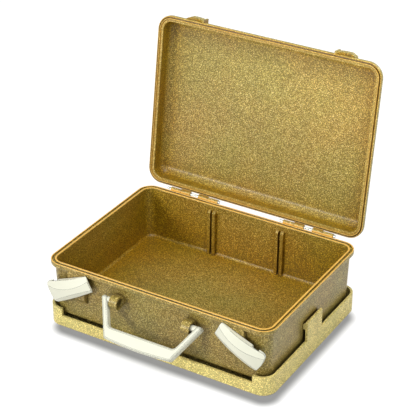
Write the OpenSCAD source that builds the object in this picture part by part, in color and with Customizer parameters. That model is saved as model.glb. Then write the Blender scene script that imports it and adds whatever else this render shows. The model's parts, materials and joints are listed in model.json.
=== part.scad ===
// First aid case: a moulded case on its wall bracket, lid open, latches and handle let down.
// Millimetres. +X to the right seen from the front, +Y to the hinges, +Z up.
// The origin is the middle of the bracket's flat underside.

/* [Case] */
// Width over the rims
case_w = 260; // [240:1:320]
// Depth over the rims, front to back
case_d = 188; // [160:1:240]
// Height of the base shell, from its underside to its rim
base_h = 61.5; // [60:0.5:90]
// Height of the lid shell above its rim
lid_h = 20.5; // [18:0.5:40]
// Wall thickness of both shells
wall = 2.3; // [1.8:0.1:3]
// Thickness of the base shell's floor
floor_t = 2.5; // [1.8:0.1:4]
// Corner radius of the rims, seen from above
rim_r = 16; // [13:0.5:24]
// How far the walls lean in between the rim and the floor
draft = 1.6; // [0.5:0.1:3]
// Outer radius of the lid's top edge
lid_edge_r = 11; // [6:0.5:12]
// Outer radius of the base's bottom edge
base_edge_r = 3; // [1:0.5:5]

/* [Rim] */
// How far the lip stands out from the wall
lip = 4; // [3:0.1:5]
// Height of the lip's upright face
lip_h = 3.6; // [3.5:0.1:6]
// Height of the sloping face between the lip and the wall
lip_slope = 4.4; // [4:0.1:6]
// Radius between the lip's upright and sloping faces
lip_edge_r = 2.5; // [1:0.1:3]
// Width of the base rim's outer bead
bead_w = 1.6; // [1.2:0.1:2]
// Height of the beads' arched crests
bead_h = 0.7; // [0.4:0.1:0.9]
// Width of the groove in the base rim
groove_w = 2.3; // [2:0.1:2.8]
// Depth of the groove in the base rim
groove_t = 2.8; // [1.6:0.1:3]
// Thickness of the lid's tongue
tongue_w = 0.9; // [0.7:0.05:1.1]
// How far the tongue stands out of the lid's rim
tongue_h = 1.1; // [0.8:0.1:1.3]
// Gap between the two rims when shut
rim_gap = 0.3; // [0.2:0.05:0.5]

/* [Partition guides] */
// Distance between the middles of the guide slots
guide_pitch = 83; // [50:1:120]
// Width of the slot between two guide ribs
guide_slot = 2.6; // [2:0.1:4]
// Thickness of one guide rib
guide_t = 3.4; // [2:0.1:4]
// How far a guide rib stands out of the wall
guide_out = 3.3; // [2.5:0.1:6]
// Distance from the rim down to the tops of the ribs
guide_drop = 6; // [4:0.1:12]

/* [Lid hinges] */
// Angle that the lid has opened through
lid_open = 99; // [80:1:110]
// Distance from the rim's back face to the hinge axis
hinge_out = 2.6; // [2.6:0.1:4]
// Distance from each side of the rim in to the middle of a hinge
hinge_in = 60.5; // [56:0.5:70]
// Outside radius of the knuckles
knuckle_r = 2.2; // [2:0.1:2.2]
// Length of one knuckle
knuckle_l = 12; // [9:0.5:14]
// Open space in the middle of a hinge
hinge_space = 10.5; // [6:0.5:16]
// Diameter of the hinge pins
pin_d = 2; // [1.6:0.1:2.2]

/* [Handle] */
// Width over the handle's arms at the pivots
handle_w = 115; // [104:1:150]
// Width of the grip's outer edge
grip_w = 77; // [70:1:100]
// Length from the pivots to the ends of the grip's outer edge
handle_l = 37.5; // [32:0.5:38]
// How far the grip's outer edge bows out in the middle
grip_bow = 2; // [0:0.1:3]
// Width of the grip
grip_d = 12.5; // [9:0.5:14]
// Width of an arm, measured across
arm_w = 7.1; // [6.4:0.1:9]
// Thickness of the handle
handle_t = 8; // [6:0.5:9]
// Radius of the handle's edges
handle_edge_r = 2.4; // [1.5:0.1:2.8]
// How far the handle stands out from hanging, in degrees
handle_swing = 45; // [10:1:80]
// Distance from the rim down to the handle's pivots
handle_drop = 19.5; // [18:0.5:20]
// Distance from the rim's front face out to the pivots
handle_out = 3; // [2.5:0.5:5]
// Diameter of the trunnions
trunnion_d = 6.6; // [6:0.1:7]
// Outer radius of the eyes that carry the handle
eye_r = 7; // [6.8:0.1:7.2]
// Length of an eye
eye_l = 9; // [8:0.5:12]
// Space between an eye and the arm beside it
eye_gap = 4.1; // [4.1:0.1:6]
// Diameter of the wide mouths of an eye
eye_mouth_d = 10.2; // [9.6:0.1:10.8]

/* [Latches] */
// Distance from each side of the rim in to a latch pivot
latch_in = 40; // [37:1:50]
// Distance from the rim down to the latch pivots
latch_drop = 18; // [17.6:0.1:18.4]
// Length of the latch from its pivot to the hooked end
latch_head = 36.8; // [35:0.1:37.4]
// Length of the latch from its pivot to its tail
latch_tail = 17.4; // [15:0.1:18.5]
// Width of the latch at its tail
latch_tail_w = 17.5; // [16.5:0.5:19]
// Width of the latch at its head
latch_head_w = 24; // [22:0.5:26]
// Thickness of the latch at the highest point of its crown
latch_t = 7.2; // [6.9:0.1:7.8]
// Thickness of the latch at its long edges, halfway along
latch_edge = 4.4; // [4.2:0.1:5]
// Radius of the crown along the latch
latch_crown_r = 80; // [75:1:100]
// Radius of the curve that the latch's long edges follow
latch_bow_r = 110; // [100:1:140]
// Angle from shut to let down, in degrees
latch_turn = 116.4; // [100:0.1:120]
// Diameter of the pivot stud
stud_d = 8; // [6:0.1:8]
// Radius of the catch's underside about the pivot
catch_r = 23; // [22.6:0.1:23.4]
// Height of the catch
catch_h = 5.9; // [5:0.1:6]
// How far the catch stands out of the lip
catch_out = 2.8; // [2.4:0.1:2.8]
// Distance from the pivot to the inner edge of the pad that a latch turns on
pad_in = 7.5; // [6.5:0.5:8]
// Distance from the pivot to the outer edge of that pad
pad_out = 11.5; // [8:0.5:13]
// Diameter of the stop pin on the pad
stop_d = 2.4; // [2:0.1:2.6]

/* [Bracket] */
// Height of the bracket's walls
bracket_h = 20.8; // [18:0.1:26]
// Height of the lowered middle of the front wall
bracket_low = 12; // [8:0.1:12.5]
// Distance from each end of the front to the lowered middle
bracket_end = 18.9; // [17.5:0.1:30]
// How far the bracket stands out past the rims, on each side
bracket_out = 0.5; // [0:0.1:3]
// Thickness of the bracket's walls
bracket_t = 2.5; // [2:0.1:3]
// Width of the bracket's flat foot
foot_w = 22; // [20:1:30]
// Height of the ribs that carry the case
rest_h = 11.5; // [9:0.1:12]
// Thickness of the ribs that carry the case
rest_t = 3; // [2:0.1:4]
// Length of the ribs that carry the case
rest_l = 6; // [5:0.5:6]
// Distance from the rims' faces in to those ribs
rest_in = 15; // [13:0.5:15]
// Length of a side clip
clip_l = 31; // [24:1:40]
// Height of a side clip
clip_h = 42.3; // [36:0.1:48]
// Height of the nose at the top of a clip
nose_h = 8; // [6:0.1:10]
// Place of the clips along the sides, from the middle
clip_y = -2.5; // [-15:0.5:15]
// Diameter of the wall screw holes
screw_d = 5; // [4:0.1:6]
// Distance from the bracket's sides in to the screw holes
screw_side = 30.5; // [28:0.5:60]
// Distance from the bracket's front and back in to the screw holes
screw_front = 11.5; // [10:0.5:13]

/* [Clearances] */
// Gap between parts that pass or rest on each other
clear = 0.3; // [0.25:0.01:0.4]
// Radial gap of a running fit
fit = 0.05; // [0.02:0.01:0.08]

/* [Hidden] */
$fn = 48;
bite = 1;
gold = [0.62, 0.50, 0.25];
sand = [0.78, 0.72, 0.45];
ivory = [0.95, 0.94, 0.88];
steel = [0.72, 0.72, 0.74];

half_w = case_w / 2;
half_d = case_d / 2;
base_z = rest_h + clear;
rim_z = base_z + base_h;
lid_z = rim_z + rim_gap;
floor_z = base_z + floor_t;
rim_w = lip + wall;
wall_r = rim_r - lip;
inner_r = wall_r - wall;
lip_all = lip_h + lip_slope;
floor_fillet = 3;
lid_fillet = max(lid_edge_r - wall, 1);
slice_t = 0.05;

hinge_x = half_w - hinge_in;
hinge_y = half_d + hinge_out;
hinge_z = rim_z + rim_gap / 2;
hinge_l = 4 * knuckle_l + hinge_space;
knuckle_gap = 0.5;
pin_r = pin_d / 2;
pin_bore_r = pin_r + fit;
pin_stand = 5;
pin_tail = 2;
pin_head_r = pin_r + 0.6;
pin_head_l = 1.2;
heel = hinge_out - clear;

handle_y = -half_d - handle_out;
handle_z = rim_z - handle_drop;
arm_lean = (handle_w - grip_w) / 2 / handle_l;
eye_x = handle_w / 2 - arm_w - eye_gap - eye_l / 2;
eye_land = 4;
eye_mouth_t = 1.2;

latch_x = half_w - latch_in;
latch_z = rim_z - latch_drop;
pad_y = -half_d - 0.1;
latch_y = pad_y - clear;
stud_r = stud_d / 2;
catch_y = -half_d - catch_out;
band_gap = 0.35;
slot_r0 = catch_r - band_gap;
slot_r1 = catch_r + catch_h + band_gap;
slot_t = latch_y - catch_y + 0.4;
bar_end = 8.4;
pocket_t = 2.2;
pocket_rim = 2.3;
stop_r = 6.7;
stop_out = 2.1;
stop_groove_w = stop_d + 0.6;
stop_groove_t = stop_out - clear + 0.7;
crown_u = (latch_head - latch_tail) / 2;
latch_tail_r = 1.2;
latch_head_r = 4;
latch_u0 = latch_tail_r - latch_tail;
latch_u1 = latch_head - 0.8 - latch_head_r;
retainer_t = 0.8;
retainer_r = stud_r + 3.5;
seat_r = retainer_r + 1.5;
pad_drop = 34;
pad_ramp = 7;

// How far the outer wall stands in from the rim's face at height z.
function inset_at(z) = lip + draft * (rim_z - z) / base_h;
// Where the latch's long edges are, out from its middle line, at distance u from the pivot.
function latch_half_w(u) = latch_tail_w / 2
    + (latch_head_w - latch_tail_w) / 2 * (u - latch_u0) / (latch_u1 - latch_u0);
// An arched line from x0 to x1 that rises by h.
function arch(x0, x1, y, h, n = 4) = [for (k = [0 : n])
    [(x0 + x1) / 2 - (x1 - x0) / 2 * cos(180 * k / n), y + h * sin(180 * k / n)]];

seat_y = -half_d + inset_at(latch_z) + wall + 0.5;
retainer_y = seat_y + clear;
stud_end_y = retainer_y + retainer_t + 0.8;

bracket_hw = half_w + bracket_out;
bracket_hd = half_d + bracket_out;
bracket_r = rim_r - 1;
screw_x = bracket_hw - screw_side;
screw_y = bracket_hd - screw_front;
foot_t = 2.5;
nose_x = half_w - inset_at(clip_h) + clear;

// A rectangle with round corners, given by its half width, half depth and corner radius.
module round_rect(hw, hd, r) {
    square([2 * hw, 2 * (hd - r)], center = true);
    square([2 * (hw - r), 2 * hd], center = true);
    for (x = [-1, 1], y = [-1, 1])
        translate([x * (hw - r), y * (hd - r)])
            circle(r);
}

// A thin slice of a shell's form at height z, drawn in from the rim's face by inset.
module slice(z, inset, r) {
    translate([0, 0, z])
        linear_extrude(slice_t)
            round_rect(half_w - inset, half_d - inset, max(r, 1), $fn = 32);
}

// Carries a rim profile round the case. The profile's x is measured from the corner's centre.
module rim_ring() {
    for (k = [0 : 3]) {
        a = (k % 2 == 0 ? half_w : half_d) - rim_r;
        b = (k % 2 == 0 ? half_d : half_w) - rim_r;
        rotate([0, 0, 90 * k])
            translate([a, b, 0]) {
                rotate([90, 0, 0])
                    linear_extrude(2 * b)
                        children();
                rotate_extrude(angle = 90)
                    children();
            }
    }
}

// The base rim: two beads with a groove between them, and the lip's sloping underside.
module base_rim_profile() {
    in = rim_r - rim_w;
    g0 = rim_r - bead_w;
    g1 = g0 - groove_w;
    bend = lip_edge_r * (1 - cos(45));
    translate([0, rim_z]) {
        polygon(concat(
            [[rim_r - bend, -lip_h - lip_edge_r * sin(45)], [rim_r, -lip_h]],
            arch(rim_r, g0, -bead_h, bead_h),
            [[g0, -groove_t], [g1, -groove_t]],
            arch(g1, in, -bead_h, bead_h),
            [[in, -lip_all], [rim_r - lip, -lip_all]]));
        translate([rim_r - lip_edge_r, -lip_h])
            circle(lip_edge_r);
    }
}

// The lid's rim, shut: an outer bead, a step and the tongue that hangs in the base's groove.
module lid_rim_profile() {
    in = rim_r - rim_w;
    t1 = rim_r - bead_w - (groove_w - tongue_w) * 0.6;
    t0 = t1 - tongue_w;
    edge = bead_w - 0.3;
    bend = lip_edge_r * (1 - cos(45));
    translate([0, lid_z]) {
        polygon(concat(
            [[rim_r - bend, lip_h + lip_edge_r * sin(45)], [rim_r, lip_h]],
            arch(rim_r, rim_r - edge, bead_h, -bead_h),
            [[rim_r - edge, 1.4], [t1, 1.4], [t1, -tongue_h + 0.25], [t1 - 0.25, -tongue_h],
             [t0 + 0.25, -tongue_h], [t0, -tongue_h + 0.25], [t0, 0.3], [in + 0.4, 0.3],
             [in, 0.7], [in, lip_all], [rim_r - lip, lip_all]]));
        translate([rim_r - lip_edge_r, lip_h])
            circle(lip_edge_r);
    }
}

// Puts its children at both hinges.
module at_hinges() {
    for (side = [-1, 1])
        translate([side * hinge_x, hinge_y, hinge_z])
            children();
}

// A knuckle along X from x0, with its arm to the rim. lean is -1 for the base and 1 for the lid.
module knuckle(x0, lean) {
    arm_gap = rim_gap / 2 + 0.3;
    translate([x0, 0, 0]) {
        rotate([0, 90, 0])
            cylinder(r = knuckle_r, h = knuckle_l);
        translate([0, -hinge_out - bite, lean > 0 ? arm_gap : -knuckle_r])
            cube([knuckle_l, hinge_out + bite, knuckle_r - arm_gap]);
    }
}

// The outer two knuckles of a hinge belong to the base.
module base_knuckles() {
    at_hinges()
        for (x0 = [-hinge_l / 2, hinge_l / 2 - knuckle_l])
            knuckle(x0, -1);
}

// Where the lid's two knuckles start, beside the open space.
lid_knuckle_x = [-hinge_space / 2 - knuckle_l + knuckle_gap, hinge_space / 2];

module lid_knuckles() {
    at_hinges()
        for (x0 = lid_knuckle_x)
            translate([x0, 0, 0])
                intersection() {
                    knuckle(0, 1);
                    translate([0, -20, -20])
                        cube([knuckle_l - knuckle_gap, 40, 40]);
                }
}

// The heels that meet the base's rim when the lid is open, drawn where they stand then.
module heels() {
    at_hinges()
        for (x0 = lid_knuckle_x)
            translate([x0, -heel, -knuckle_r])
                cube([knuckle_l - knuckle_gap, heel, knuckle_r]);
}

module pin_bores() {
    at_hinges()
        rotate([0, 90, 0])
            cylinder(r = pin_bore_r, h = hinge_l + 2, center = true);
}

// Turns the shut lid about the hinge axis to its open rest.
module opened() {
    translate([0, hinge_y, hinge_z])
        rotate([-lid_open, 0, 0])
            translate([0, -hinge_y, -hinge_z])
                children();
}

// An eye for one trunnion: a round nose on a neck that runs back into the wall.
module eye_solid() {
    neck = eye_r - 1.3;
    depth = -half_d + inset_at(handle_z - eye_r) + wall / 2 - handle_y;
    rotate([0, 90, 0])
        cylinder(r = eye_r, h = eye_l, center = true);
    translate([-eye_l / 2, 0, -neck])
        cube([eye_l, depth, 2 * neck]);
}

// The bore of the right eye: a short bearing with a wide mouth at each end.
module eye_bore() {
    rotate([0, 90, 0]) {
        cylinder(r = trunnion_d / 2 + fit, h = eye_l + 1, center = true);
        translate([0, 0, eye_l / 2 - eye_mouth_t])
            cylinder(r = eye_mouth_d / 2, h = eye_mouth_t + 1);
        translate([0, 0, -eye_l / 2 - 1])
            cylinder(r = eye_mouth_d / 2, h = eye_l - eye_mouth_t - eye_land + 1);
    }
}

// The pad that the right latch turns on: upright, with a foot that runs out into the wall.
module latch_pad() {
    back = -half_d + lip + wall / 2;
    translate([-pad_in, 0, rim_z])
        rotate([90, 0, 90])
            linear_extrude(pad_in + pad_out)
                polygon([[pad_y, -lip_h - 1], [pad_y, -pad_drop],
                         [-half_d + inset_at(rim_z - pad_drop - pad_ramp) + 0.2,
                          -pad_drop - pad_ramp],
                         [back + draft * 0.7, -pad_drop - pad_ramp], [back, -lip_h - 1]]);
    translate([0, pad_y + bite, latch_z - stop_r])
        rotate([90, 0, 0])
            cylinder(d = stop_d, h = stop_out + bite);
}

// One pair of guide ribs on the back wall, their tops bevelled towards the inside.
module guide_pair() {
    top = rim_z - guide_drop;
    low = floor_z - bite;
    face_top = half_d - inset_at(top) - wall;
    face_low = half_d - inset_at(low) - wall;
    for (side = [-1, 1])
        translate([side * (guide_slot + guide_t) / 2 - guide_t / 2, 0, 0])
            rotate([90, 0, 90])
                linear_extrude(guide_t)
                    polygon([[face_top + bite, top], [face_top, top],
                             [face_top - guide_out, top - guide_out * 0.7],
                             [face_low - guide_out, low], [face_low + bite, low]]);
}

module base_body() {
    steps = 5;
    hull() {
        slice(rim_z - lip_all + 2, lip + 0.05, wall_r);
        for (i = [0 : steps]) {
            t = 90 * i / steps;
            z = base_z + base_edge_r * (1 - sin(t));
            in = base_edge_r * (1 - cos(t));
            slice(z, inset_at(z) + in, wall_r - in);
        }
    }
}

module base_cavity() {
    steps = 5;
    hull() {
        slice(rim_z - lip_all + 0.5, rim_w - 0.05, inner_r);
        for (i = [0 : steps]) {
            t = 90 * i / steps;
            z = floor_z + floor_fillet * (1 - sin(t));
            in = floor_fillet * (1 - cos(t));
            slice(z, inset_at(z) + wall + in, inner_r - in);
        }
    }
}

module base_shell() {
    color(gold)
        difference() {
            union() {
                difference() {
                    base_body();
                    base_cavity();
                    translate([0, 0, rim_z - lip_all + 0.5])
                        linear_extrude(lip_all)
                            round_rect(half_w - rim_w + 0.05, half_d - rim_w + 0.05, inner_r);
                }
                rim_ring()
                    base_rim_profile();
                for (flip = [0, 1], side = [-1, 1])
                    mirror([0, flip, 0])
                        translate([side * guide_pitch / 2, 0, 0])
                            guide_pair();
                base_knuckles();
                for (side = [-1, 1]) {
                    translate([side * eye_x, handle_y, handle_z])
                        eye_solid();
                    mirror([side < 0 ? 1 : 0, 0, 0])
                        translate([latch_x, 0, 0])
                            latch_pad();
                    translate([side * latch_x, seat_y, latch_z])
                        rotate([90, 0, 0])
                            cylinder(r = seat_r, h = wall);
                }
            }
            pin_bores();
            for (side = [0, 1])
                mirror([side, 0, 0]) {
                    translate([eye_x, handle_y, handle_z])
                        eye_bore();
                    translate([latch_x, 0, latch_z])
                        rotate([90, 0, 0])
                            cylinder(r = stud_r + fit, h = half_d + 5);
                }
        }
}

module lid_body() {
    steps = 8;
    start = lid_h - lid_edge_r;
    hull() {
        slice(lid_z + lip_all - 1, lip + 0.05, wall_r);
        for (i = [0 : steps]) {
            t = 90 * i / steps;
            in = lid_edge_r * (1 - cos(t));
            slice(lid_z + start + lid_edge_r * sin(t) - slice_t, lip + 0.05 + in, wall_r - in);
        }
    }
}

module lid_cavity() {
    steps = 8;
    start = lid_h - wall - lid_fillet;
    hull() {
        slice(lid_z + lip_all - 2, rim_w - 0.05, inner_r);
        for (i = [0 : steps]) {
            t = 90 * i / steps;
            in = lid_fillet * (1 - cos(t));
            slice(lid_z + start + lid_fillet * sin(t) - slice_t, rim_w - 0.05 + in, inner_r - in);
        }
    }
}

// The catch for the right latch: a bar curved about the latch's pivot, thinning to its outer
// end, with a nub at its inner end. Drawn with the lid shut.
module catch() {
    nub_h = 0.6;
    nub_x = -latch_half_w(catch_r + catch_h + nub_h) - 0.35;
    nub_w = 1.9;
    ramp_x = 2.5;
    back = -half_d + lip + wall / 2;
    low = lid_z + bead_h + 0.4 - latch_z;
    translate([latch_x, 0, latch_z]) {
        intersection() {
            translate([0, back, 0])
                rotate([90, 0, 0])
                    difference() {
                        cylinder(r = catch_r + catch_h, h = back - catch_y, $fn = 96);
                        translate([0, 0, -1])
                            cylinder(r = catch_r, h = back - catch_y + 2, $fn = 96);
                    }
            translate([0, 0, low])
                linear_extrude(catch_r + catch_h)
                    polygon([[nub_x - nub_w / 2, back], [nub_x - nub_w / 2, catch_y],
                             [ramp_x, catch_y], [bar_end, -half_d - 0.4], [bar_end, back]]);
        }
        translate([nub_x - nub_w, catch_y, low])
            cube([nub_w, back - catch_y, catch_r + catch_h + nub_h - low]);
    }
}

module lid_shell() {
    color(gold)
        difference() {
            union() {
                opened() {
                    difference() {
                        lid_body();
                        lid_cavity();
                    }
                    rim_ring()
                        lid_rim_profile();
                    lid_knuckles();
                    catch();
                    mirror([1, 0, 0])
                        catch();
                }
                heels();
            }
            pin_bores();
        }
}

// The bail's outline, drawn in all round by the radius of its edges.
// x is across and y along it, from the pivots to the grip.
module bail_core() {
    e = handle_edge_r;
    in_w = handle_w / 2 - arm_w;
    in_y = handle_l - grip_d;
    in_x = in_w - arm_lean * in_y;
    top = -trunnion_d / 2 - 0.1;
    hole_r = 6;
    difference() {
        offset(delta = -e)
            polygon(concat(
                [[-handle_w / 2 + arm_lean * top, top]],
                [for (k = [-4 : 4]) [k / 4 * grip_w / 2, handle_l + grip_bow * (1 - k * k / 16)]],
                [[handle_w / 2 - arm_lean * top, top]]));
        offset(r = hole_r + e, $fn = 32)
            offset(delta = -hole_r)
                polygon([[-in_w - 20 * arm_lean, -20], [-in_x, in_y], [in_x, in_y],
                         [in_w + 20 * arm_lean, -20]]);
    }
}

// The right trunnion: a peg with a chamfered end, sprung into the eye by the bail itself.
module trunnion() {
    peg_end = eye_x + eye_l / 2 - eye_mouth_t - eye_land + clear;
    rotate([0, 90, 0]) {
        translate([0, 0, peg_end + 0.6])
            cylinder(d = trunnion_d, h = handle_w / 2 - arm_w / 2 - peg_end);
        translate([0, 0, peg_end])
            cylinder(d1 = trunnion_d - 1.2, d2 = trunnion_d, h = 0.6);
    }
}

module handle() {
    core_t = handle_t - 2 * handle_edge_r;
    color(ivory)
        translate([0, handle_y, handle_z]) {
            rotate([90 - handle_swing, 0, 0])
                mirror([0, 1, 0])
                    minkowski() {
                        translate([0, 0, -core_t / 2])
                            linear_extrude(core_t)
                                bail_core();
                        sphere(handle_edge_r, $fn = 16);
                    }
            trunnion();
            mirror([1, 0, 0])
                trunnion();
        }
}

// The latch's outline, upright: x across, y along it from the pivot to the hooked end.
module latch_outline() {
    hull() {
        for (side = [-1, 1]) {
            translate([side * (latch_tail_w / 2 - latch_tail_r), latch_u0])
                circle(latch_tail_r, $fn = 32);
            translate([side * (latch_head_w / 2 - latch_head_r), latch_u1])
                circle(latch_head_r, $fn = 32);
        }
        translate([-3, latch_head - 1])
            square([6, 1]);
    }
}

// All that lies under one long bevel of the latch, which follows the bow of its edge and
// falls by slope towards it. side is -1 for the leading edge and 1 for the trailing edge.
module under_bevel(side, slope) {
    edge_x = latch_half_w(crown_u);
    taper = atan((latch_head_w - latch_tail_w) / 2 / (latch_u1 - latch_u0));
    mirror([side < 0 ? 1 : 0, 0, 0])
        translate([edge_x, crown_u, latch_edge - latch_bow_r])
            rotate([0, 0, -taper])
                rotate([0, 90, 0])
                    rotate_extrude($fn = 200)
                        polygon([[latch_bow_r - 20, -30], [latch_bow_r + 30 * slope, -30],
                                 [latch_bow_r - 4 * slope, 4], [latch_bow_r - 20, 4]]);
}

// The right latch, upright, with its back on z = 0 and its front towards +z.
module latch_body() {
    turn_gap = 13;
    undercut = 2;
    difference() {
        intersection() {
            linear_extrude(latch_t + 1)
                latch_outline();
            translate([0, crown_u, latch_t - latch_crown_r])
                rotate([0, 90, 0])
                    cylinder(r = latch_crown_r, h = 60, center = true, $fn = 200);
            under_bevel(-1, 0.3);
            under_bevel(1, 0.6);
        }
        // the tail's end, cut back under its front edge
        rotate([90, 0, 90])
            linear_extrude(60, center = true)
                polygon([[-latch_tail - 1, -1], [-latch_tail - 1, 0.9], [-latch_tail, 0.9],
                         [-latch_tail + undercut, 0], [-latch_tail + undercut, -1]]);
        // the curved slot that the catch passes through, open at the leading edge
        intersection() {
            rotate_extrude(angle = 180)
                translate([slot_r0, -1])
                    square([slot_r1 - slot_r0, slot_t + 1]);
            translate([-40, 0, -2])
                cube([40 + bar_end + 0.6, 40, 10]);
        }
        // pockets that thin the head and the middle
        translate([0, 0, -1])
            linear_extrude(pocket_t + 1)
                intersection() {
                    offset(delta = -pocket_rim)
                        latch_outline();
                    union() {
                        difference() {
                            circle(slot_r0 - 1.8);
                            circle(stop_r + stop_groove_w / 2 + 1.4);
                        }
                        difference() {
                            circle(latch_head * 2);
                            circle(slot_r1 + 2);
                        }
                    }
                }
        // the curved groove that the stop pin runs in
        rotate([0, 0, -90 - turn_gap])
            rotate_extrude(angle = latch_turn + 2 * turn_gap)
                translate([stop_r - stop_groove_w / 2, -1])
                    square([stop_groove_w, stop_groove_t + 1]);
    }
    translate([0, 0, latch_y - stud_end_y])
        cylinder(r = stud_r, h = stud_end_y - latch_y + 1);
}

module placed_latch() {
    translate([latch_x, latch_y, latch_z])
        rotate([0, latch_turn, 0])
            rotate([90, 0, 0])
                latch_body();
}

module latch_right() {
    color(ivory)
        placed_latch();
}

module latch_left() {
    color(ivory)
        mirror([1, 0, 0])
            placed_latch();
}

// A push-on washer with four slits, on the inner end of a latch's stud.
module retainer(side) {
    color(steel)
        translate([side * latch_x, retainer_y, latch_z])
            rotate([-90, 0, 0])
                difference() {
                    cylinder(r = retainer_r, h = retainer_t);
                    translate([0, 0, -1])
                        cylinder(r = stud_r + 0.02, h = retainer_t + 2);
                    for (k = [0 : 3])
                        rotate([0, 0, 45 + 90 * k])
                            translate([0, -0.5, -1])
                                cube([stud_r + 1.6, 1, retainer_t + 2]);
                }
}

module latch_retainer_left() {
    retainer(-1);
}

module latch_retainer_right() {
    retainer(1);
}

module hinge_pin(side) {
    color(steel)
        translate([side * hinge_x, hinge_y, hinge_z])
            rotate([0, 90, 0]) {
                translate([0, 0, -hinge_l / 2 - pin_stand])
                    cylinder(r = pin_r, h = hinge_l + pin_stand + pin_tail);
                translate([0, 0, hinge_l / 2 + pin_tail - pin_head_l])
                    cylinder(r = pin_head_r, h = pin_head_l);
            }
}

module hinge_pin_left() {
    hinge_pin(-1);
}

module hinge_pin_right() {
    hinge_pin(1);
}

// The right side clip: an upright tongue with an inward nose along its top.
module clip() {
    inner = bracket_hw - bracket_t;
    translate([0, clip_y + clip_l / 2, 0])
        rotate([90, 0, 0])
            linear_extrude(clip_l)
                polygon([[bracket_hw, 1], [bracket_hw, clip_h], [inner, clip_h],
                         [nose_x, clip_h - 2.5], [nose_x, clip_h - nose_h],
                         [inner, clip_h - nose_h], [inner, 1]]);
}

// Ribs on the bracket's foot that the case stands on.
module rests() {
    for (side = [-1, 1]) {
        for (y = case_d * [-0.27, 0.27])
            translate([side * (half_w - rest_in - rest_l / 2), y, rest_h / 2])
                cube([rest_l, rest_t, rest_h], center = true);
        for (x = case_w * [-0.346, -0.115, 0.115, 0.346])
            translate([x, side * (half_d - rest_in - rest_l / 2), rest_h / 2])
                cube([rest_t, rest_l, rest_h], center = true);
    }
}

module wall_bracket() {
    low_w = 2 * (bracket_hw - bracket_end);
    color(sand)
        union() {
            difference() {
                linear_extrude(bracket_h)
                    round_rect(bracket_hw, bracket_hd, bracket_r);
                translate([0, 0, foot_t])
                    linear_extrude(bracket_h)
                        round_rect(bracket_hw - bracket_t, bracket_hd - bracket_t,
                                   bracket_r - bracket_t);
                translate([0, 0, -1])
                    linear_extrude(foot_t + 2)
                        round_rect(bracket_hw - foot_w, bracket_hd - foot_w, 8);
                translate([-low_w / 2, -bracket_hd - 1, bracket_low])
                    cube([low_w, bracket_t + 2, bracket_h]);
                for (x = [-1, 1], y = [-1, 1])
                    translate([x * screw_x, y * screw_y, -1])
                        cylinder(d = screw_d, h = foot_t + 2);
            }
            rests();
            clip();
            mirror([1, 0, 0])
                clip();
        }
}

wall_bracket();
base_shell();
lid_shell();
handle();
latch_left();
latch_right();
latch_retainer_left();
latch_retainer_right();
hinge_pin_left();
hinge_pin_right();
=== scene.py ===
import json
import math

import bpy
from mathutils import Matrix, Vector


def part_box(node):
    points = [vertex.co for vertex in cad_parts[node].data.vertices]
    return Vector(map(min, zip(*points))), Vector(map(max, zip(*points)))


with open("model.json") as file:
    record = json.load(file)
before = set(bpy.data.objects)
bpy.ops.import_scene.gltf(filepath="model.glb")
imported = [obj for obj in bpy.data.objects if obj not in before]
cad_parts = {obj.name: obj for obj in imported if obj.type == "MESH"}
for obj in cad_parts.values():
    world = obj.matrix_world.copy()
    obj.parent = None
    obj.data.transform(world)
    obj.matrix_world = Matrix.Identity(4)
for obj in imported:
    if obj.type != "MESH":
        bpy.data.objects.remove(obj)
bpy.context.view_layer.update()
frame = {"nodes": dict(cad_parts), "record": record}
nodes = frame["nodes"]
scene = bpy.context.scene

# Places on the part at rest, in metres, and how far the lid is open there.
HINGE = (0, 0.0966, 0.07345)
LID_OPEN = math.radians(99)
RIM = (0, 0, 0.0733)
IN_FRONT_WALL = (0, -0.088, 0)
LOWER_LID = (0, 0, 0.15)
LATCH_TAIL = (0, 0, 0.066)

# The camera, as fitted to corners that were measured in the photo.
CAMERA_PLACE = (0.67339, -1.10115, 0.86486)
CAMERA_RIGHT = (0.85671, 0.51579, -0.00253)
CAMERA_AHEAD = (-0.44828, 0.74215, -0.49826)
CAMERA_LENS = 127.81
SENSOR_WIDTH = 36.0


def srgb(red, green, blue):
    """A colour given as 0 to 255 screen values, as linear light. With the value over 255: up to
    0.04045 it is divided by 12.92, and above that 0.055 is added, the sum is divided by 1.055 and
    raised to the power 2.4."""
    light = []
    for value in (red, green, blue):
        share = value / 255
        light.append(share / 12.92 if share <= 0.04045 else ((share + 0.055) / 1.055) ** 2.4)
    return (*light, 1.0)


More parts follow.
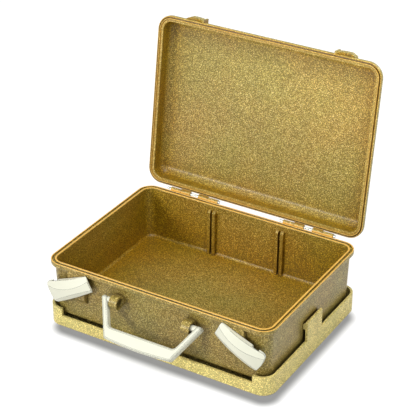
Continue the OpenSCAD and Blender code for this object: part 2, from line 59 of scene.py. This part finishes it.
class Nodes:
    """A node tree, with one short call for each kind of node that is used here."""

    def __init__(self, tree, output):
        self.tree = tree
        self.tree.nodes.clear()
        self.out = self.add(output)

    def add(self, kind, **values):
        node = self.tree.nodes.new(kind)
        for key, value in values.items():
            setattr(node, key, value)
        return node

    def feed(self, socket, value):
        """Links the socket to value where that is an output, and else sets it to the constant."""
        if isinstance(value, bpy.types.NodeSocket):
            self.tree.links.new(value, socket)
        else:
            socket.default_value = value

    def coords(self):
        return self.add("ShaderNodeTexCoord").outputs["Object"]

    def mix(self, factor, first, second, blend="MIX"):
        """The first colour at factor 0 and the second, or the blend with it, at factor 1."""
        node = self.add("ShaderNodeMix", data_type="RGBA", blend_type=blend)
        self.feed(node.inputs[0], factor)
        self.feed(node.inputs[6], first)
        self.feed(node.inputs[7], second)
        return node.outputs[2]

    def tinted(self, color, tint):
        """The product of two colours."""
        return self.mix(1.0, color, tint, "MULTIPLY")

    def scaled(self, color, factor):
        """The colour times a grey factor. A constant colour is given without its alpha."""
        node = self.add("ShaderNodeVectorMath", operation="SCALE")
        linked = isinstance(color, bpy.types.NodeSocket)
        self.feed(node.inputs[0], color if linked else color[:3])
        self.feed(node.inputs["Scale"], factor)
        return node.outputs[0]

    def math(self, operation, first, second=0.0, clamp=False):
        node = self.add("ShaderNodeMath", operation=operation, use_clamp=clamp)
        self.feed(node.inputs[0], first)
        self.feed(node.inputs[1], second)
        return node.outputs[0]

    def ramp(self, value, low, high, to_low=0.0, to_high=1.0, step="LINEAR"):
        """Goes from to_low to to_high as value goes from low to high, and stays there beyond."""
        node = self.add("ShaderNodeMapRange", interpolation_type=step)
        for key, number in (("From Min", low), ("From Max", high),
                            ("To Min", to_low), ("To Max", to_high)):
            node.inputs[key].default_value = number
        self.feed(node.inputs["Value"], value)
        return node.outputs[0]

    def noise(self, scale, detail=2.0):
        """Soft noise, with features about one over scale metres wide."""
        node = self.add("ShaderNodeTexNoise")
        node.inputs["Scale"].default_value = scale
        node.inputs["Detail"].default_value = detail
        self.feed(node.inputs["Vector"], self.coords())
        return node.outputs[0]

    def cells(self, scale):
        """Two random values for each small cell, about one over scale metres wide."""
        node = self.add("ShaderNodeTexVoronoi", feature="F1")
        node.inputs["Scale"].default_value = scale
        self.feed(node.inputs["Vector"], self.coords())
        split = self.add("ShaderNodeSeparateColor")
        self.feed(split.inputs[0], node.outputs["Color"])
        return split.outputs[0], split.outputs[1]

    def openness(self, distance, own=False):
        """How open a point is to its surroundings within the distance, 0 to 1.
        With own, only the piece's own walls count."""
        node = self.add("ShaderNodeAmbientOcclusion", samples=8, only_local=own)
        node.inputs["Distance"].default_value = distance
        return node.outputs["AO"]

    def dot(self, first, second):
        node = self.add("ShaderNodeVectorMath", operation="DOT_PRODUCT")
        self.feed(node.inputs[0], first)
        self.feed(node.inputs[1], second)
        return node.outputs["Value"]

    def along(self, direction, start):
        """The dot product of direction with the way from start to the point: for a direction
        one long, how far the point lies from start along it."""
        way = self.add("ShaderNodeVectorMath", operation="SUBTRACT")
        self.feed(way.inputs[0], self.coords())
        self.feed(way.inputs[1], start)
        return self.dot(way.outputs[0], direction)

    def bump(self, height, strength, distance):
        node = self.add("ShaderNodeBump")
        node.inputs["Strength"].default_value = strength
        node.inputs["Distance"].default_value = distance
        self.feed(node.inputs["Height"], height)
        return node.outputs[0]

    def choose(self, factor, first, second):
        """The first shader at factor 0 and the second at factor 1."""
        node = self.add("ShaderNodeMixShader")
        for socket, value in zip(node.inputs, (factor, first, second)):
            self.feed(socket, value)
        return node.outputs[0]

    def looked_at(self):
        """1 for rays from the camera and glossy rays, 0 for all others."""
        ray = self.add("ShaderNodeLightPath")
        return self.math("MAXIMUM", ray.outputs["Is Camera Ray"], ray.outputs["Is Glossy Ray"])

    def surface(self, color, roughness, metallic=0.0, normal=None, specular=0.5, coat=0.0):
        shader = self.add("ShaderNodeBsdfPrincipled")
        for key, value in (("Base Color", color), ("Roughness", roughness), ("Metallic", metallic),
                           ("Specular IOR Level", specular), ("Coat Weight", coat),
                           ("Coat Roughness", 0.4)):
            self.feed(shader.inputs[key], value)
        if normal is not None:
            self.feed(shader.inputs["Normal"], normal)
        self.feed(self.out.inputs[0], shader.outputs[0])


def new_material(name):
    """A new material and its node tree, which holds only the output as yet."""
    material = bpy.data.materials.new(name)
    material.use_nodes = True
    return material, Nodes(material.node_tree, "ShaderNodeOutputMaterial")


def flecked(m, base, warm, brightest, painted_glint):
    """Moulded plastic with a fine metallic fleck. Each cell has a random tone between base and
    warm, which drifts slowly over the wall. Its brightness goes from darkest to brightest with the
    fifth power of a second random value, and a painted glint, a pale colour that stands in for the
    fleck's reflection, goes with the eighth power. Crevices and corners get painted shade, darker
    and browner. Returns the colour and that second value."""
    cells_per_metre = 1800.0
    darkest = 0.75
    fleck, own_tone = m.cells(cells_per_metre)
    brightness = m.ramp(m.math("POWER", fleck, 5.0), 0.0, 1.0, darkest, brightest)
    cloud = m.ramp(m.noise(60.0), 0.3, 0.7, 0.94, 1.06)
    drift = m.ramp(m.noise(16.0, 3.0), 0.35, 0.65, -0.15, 0.22)
    warmth = m.math("ADD", m.math("MULTIPLY", own_tone, 0.5), drift, clamp=True)
    tone = m.scaled(m.mix(warmth, base, warm), m.math("MULTIPLY", brightness, cloud))
    # Painted glint: the brightest flecks turn pale, standing in for their reflection.
    painted_glints = m.math("MULTIPLY", m.math("POWER", fleck, 8.0), painted_glint)
    tone = m.mix(painted_glints, tone, srgb(214, 200, 150))
    # Painted shade: darker and browner in crevices and corners, where less light reaches.
    crevice_shade = (0.003, 0.2, 0.7, (0.4, 0.26, 0.1, 1))
    corner = (0.016, 0.05, 0.45, (0.15, 0.125, 0.07, 1))
    for distance, shut, free, tint in (crevice_shade, corner):
        tone = m.mix(m.ramp(m.openness(distance), shut, free), m.tinted(tone, tint), tone)
    return tone, fleck


def painted_shade_and_sheen(m, tone):
    """Painted shade and light on the tone: darker in hollows and browner in those that lie behind
    the middle of the front wall, as painted shade, and paler towards the upper right end of the
    open lid, as a painted sheen."""
    reach = 0.11
    brown = (1.0, 0.74, 0.08, 1)
    # Painted shade: darker where the surroundings close in.
    tone = m.scaled(tone, m.ramp(m.openness(reach), 0.35, 0.95, 0.68, 1.0))
    # Painted sheen: paler towards the upper right end of the open lid.
    tone = m.scaled(tone, m.ramp(m.along((0.4, 0, 1), LOWER_LID), 0.0, 0.1, 1.0, 1.35))
    # Painted shade: browner in the case's own hollows behind the front wall.
    hollow_shade = m.ramp(m.openness(reach, own=True), 0.97, 0.55)
    inside = m.ramp(m.along((0, 1, 0), IN_FRONT_WALL), 0.0, 0.0008)
    return m.mix(m.math("MULTIPLY", hollow_shade, inside), tone, m.tinted(tone, brown))


def crest_highlight_and_polish(m):
    """How much of the painted highlight, and of the smoother finish, a point takes: 1 on the
    crests of the base's rim, falling to 0 half a millimetre below RIM, and 0.45 on those of the
    lid's rim, which lie in the lid's own plane through the hinge."""
    above_rim = m.along((0, 0, 1), RIM)
    base_crest = m.ramp(above_rim, -0.0005, -0.0001)
    below_lid = m.ramp(above_rim, 0.0015, 0.001)
    out_of_lid = m.along((0, math.sin(LID_OPEN), math.cos(LID_OPEN)), HINGE)
    lid_crest = m.ramp(out_of_lid, 0.0006, 0.0002, 0.0, 0.45)
    behind_hinge = m.ramp(m.along((0, 1, 0), (0, HINGE[1], 0)), -0.001, 0.0)
    return m.math("ADD", m.math("MULTIPLY", base_crest, below_lid),
                  m.math("MULTIPLY", lid_crest, behind_hinge), clamp=True)


def moulded(m, tone, roughness, fleck):
    """Finishes a satin plastic, whose fleck also stands out a little."""
    grain = m.bump(fleck, 0.35, 0.00012)
    m.surface(tone, roughness, normal=grain, specular=0.3, coat=0.3)


def case_plastic():
    """Flecked golden brown plastic, with a painted highlight on the rim crests, which are also a
    little smoother.
    """
    material, m = new_material("case plastic")
    tone, fleck = flecked(m, srgb(131, 119, 48), srgb(146, 106, 36), 4.2, 0.8)
    tone = painted_shade_and_sheen(m, tone)
    highlight_and_polish = crest_highlight_and_polish(m)
    # Painted highlight: the rim crests paler and more orange, as where light catches them.
    tone = m.mix(m.math("MULTIPLY", highlight_and_polish, 0.84), tone, srgb(242, 186, 86))
    moulded(m, tone, m.math("SUBTRACT", 0.42, m.math("MULTIPLY", highlight_and_polish, 0.15)), fleck)
    return material


def bracket_plastic():
    """The same plastic in pale sand, with less fleck."""
    material, m = new_material("bracket plastic")
    tone, fleck = flecked(m, srgb(202, 190, 116), srgb(208, 178, 104), 3.0, 0.5)
    moulded(m, tone, 0.55, fleck)
    return material


def white_plastic():
    """Cream plastic, with painted shade where it is shut in and along its edges.
    averaged over edge_reach turns away from the face's own. The latch's tail has no such lines:
    its wall is so thin there that the averaged normal takes in the far side."""
    edge_reach = 0.0005
    material, m = new_material("white plastic")
    # Painted shade: darker where the part is shut in.
    shade = m.ramp(m.openness(0.003), 0.3, 0.9, 0.6, 1.0)
    softened = m.add("ShaderNodeBevel", samples=6)
    softened.inputs["Radius"].default_value = edge_reach
    face = m.add("ShaderNodeNewGeometry")
    # Painted shade: dark lines along the edges, where the face turns.
    painted_edge_shade = m.ramp(m.dot(softened.outputs[0], face.outputs["Normal"]), 0.9995, 0.997, 1.0, 0.15)
    on_tail = m.ramp(m.along((0, 0, 1), LATCH_TAIL), 0.0, 0.0004)
    edge = m.math("MAXIMUM", on_tail, painted_edge_shade)
    m.surface(m.scaled(srgb(216, 215, 197), m.math("MULTIPLY", shade, edge)), 0.34)
    return material


def bright_steel():
    """Drawn steel, with a roughness that varies finely from 0.24 to 0.36."""
    material, m = new_material("bright steel")
    streak = m.ramp(m.noise(900.0), 0.3, 0.7)
    roughness = m.math("ADD", m.math("MULTIPLY", streak, 0.12), 0.24)
    m.surface(srgb(196, 194, 186), roughness, metallic=1.0)
    return material


looks = {"case": case_plastic(), "bracket": bracket_plastic(), "white": white_plastic(),
         "steel": bright_steel()}
slot_of = {row["node"]: row["material_slot"] for row in frame["record"]["subparts"]}
for name, thing in nodes.items():
    thing.data.materials.clear()
    thing.data.materials.append(looks[slot_of[name]])

bpy.ops.mesh.primitive_plane_add(size=12.0, location=(0, 0, -0.0004))
floor = bpy.context.object
floor.name = "floor"
low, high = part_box("wall_bracket")


def floor_shadow(m):
    """The soft shadow painted on the floor right of and in front of the bracket: darkest in it, 1
    outside.
    It follows the distance from a round-cornered rectangle, as large as the bracket and shifted.
    Past is how far a point lies past the sides' straight part in x and in y. The distance is the
    root of the summed squares of their positive parts, plus the larger one if both are negative,
    less the corner's radius."""
    radius = 0.018
    blur = 0.0065
    darkest = 0.28
    split = m.add("ShaderNodeSeparateXYZ")
    m.feed(split.inputs[0], m.coords())
    past = []
    for axis, shift in ((0, 0.009), (1, -0.013)):
        middle = (low[axis] + high[axis]) / 2 + shift
        reach = (high[axis] - low[axis]) / 2 - radius
        away = m.math("ABSOLUTE", m.math("SUBTRACT", split.outputs[axis], middle))
        past.append(m.math("SUBTRACT", away, reach))
    squares = [m.math("POWER", m.math("MAXIMUM", value, 0.0), 2.0) for value in past]
    outside = m.math("SQRT", m.math("ADD", *squares))
    within = m.math("MINIMUM", m.math("MAXIMUM", *past), 0.0)
    distance = m.math("SUBTRACT", m.math("ADD", outside, within), radius)
    return m.ramp(distance, -blur, blur, darkest, 1.0, "SMOOTHSTEP")


def floor_material():
    """A plain grey floor that the camera and reflections see as white with the painted shadow on
    it.
    """
    material, m = new_material("floor")
    shadow = floor_shadow(m)
    lit = m.add("ShaderNodeBsdfDiffuse")
    m.feed(lit.inputs["Color"], m.scaled((0.22, 0.22, 0.22), shadow))
    bright = m.add("ShaderNodeEmission")
    m.feed(bright.inputs["Color"], m.scaled((0.9, 0.9, 0.9), shadow))
    pale = m.add("ShaderNodeAddShader")
    m.feed(pale.inputs[0], lit.outputs[0])
    m.feed(pale.inputs[1], bright.outputs[0])
    plain = m.add("ShaderNodeBsdfDiffuse")
    m.feed(plain.inputs["Color"], (0.62, 0.62, 0.62, 1))
    m.feed(m.out.inputs[0], m.choose(m.looked_at(), plain.outputs[0], pale.outputs[0]))
    return material


floor.data.materials.append(floor_material())


def surroundings():
    """White to the camera, pale green to glossy rays, and a dim sky to all other rays."""
    world = bpy.data.worlds.new("world")
    world.use_nodes = True
    m = Nodes(world.node_tree, "ShaderNodeOutputWorld")
    sky = m.add("ShaderNodeBackground")
    m.feed(sky.inputs["Color"], (0.92, 0.95, 0.98, 1))
    m.feed(sky.inputs["Strength"], 0.35)
    seen = m.add("ShaderNodeBackground")
    ray = m.add("ShaderNodeLightPath")
    in_gloss = (0.64, 0.74, 0.62, 1)
    in_camera = (1, 1, 1, 1)
    m.feed(seen.inputs["Color"], m.mix(ray.outputs["Is Camera Ray"], in_gloss, in_camera))
    m.feed(seen.inputs["Strength"], 1.0)
    m.feed(m.out.inputs[0], m.choose(m.looked_at(), sky.outputs[0], seen.outputs[0]))
    return world


scene.world = surroundings()


def lamp(name, place, target, size, power, color):
    """A square soft light at place that faces target. Size in metres, power in watts."""
    data = bpy.data.lights.new(name, "AREA")
    data.shape = "SQUARE"
    data.size = size
    data.energy = power
    data.color = color
    thing = bpy.data.objects.new(name, data)
    scene.collection.objects.link(thing)
    thing.location = place
    aim = Vector(target) - Vector(place)
    thing.rotation_euler = aim.to_track_quat("-Z", "Y").to_euler()


lamp("key light", (-1.0, -2.0, 0.85), (0, 0.05, 0.12), 0.5, 30.0, (1.0, 1.0, 0.97))
lamp("fill light", (1.9, -0.9, 0.8), (0, 0, 0.1), 1.0, 8.5, (0.97, 1.0, 0.97))
lamp("top light", (0.35, -0.55, 1.95), (0, 0, 0.1), 1.2, 28.0, (1.0, 1.0, 0.98))
lamp("back light", (0.5, 2.2, 1.0), (0, 0, 0.1), 1.0, 14.0, (1.0, 0.99, 0.95))

ahead = Vector(CAMERA_AHEAD)
ahead.normalize()
right = Vector(CAMERA_RIGHT)
right = (right - ahead * right.dot(ahead)).normalized()
up = right.cross(ahead)
turn = Matrix((right, up, -ahead)).transposed().to_4x4()
eye = bpy.data.cameras.new("camera")
eye.sensor_width = SENSOR_WIDTH
eye.sensor_fit = "HORIZONTAL"
eye.lens = CAMERA_LENS
eye.clip_start = 0.05
eye.clip_end = 50.0
camera = bpy.data.objects.new("camera", eye)
scene.collection.objects.link(camera)
camera.matrix_world = Matrix.Translation(CAMERA_PLACE) @ turn
scene.camera = camera

scene.view_settings.view_transform = "Standard"
scene.view_settings.look = "None"
scene.view_settings.exposure = 0.0
scene.view_settings.gamma = 1.0
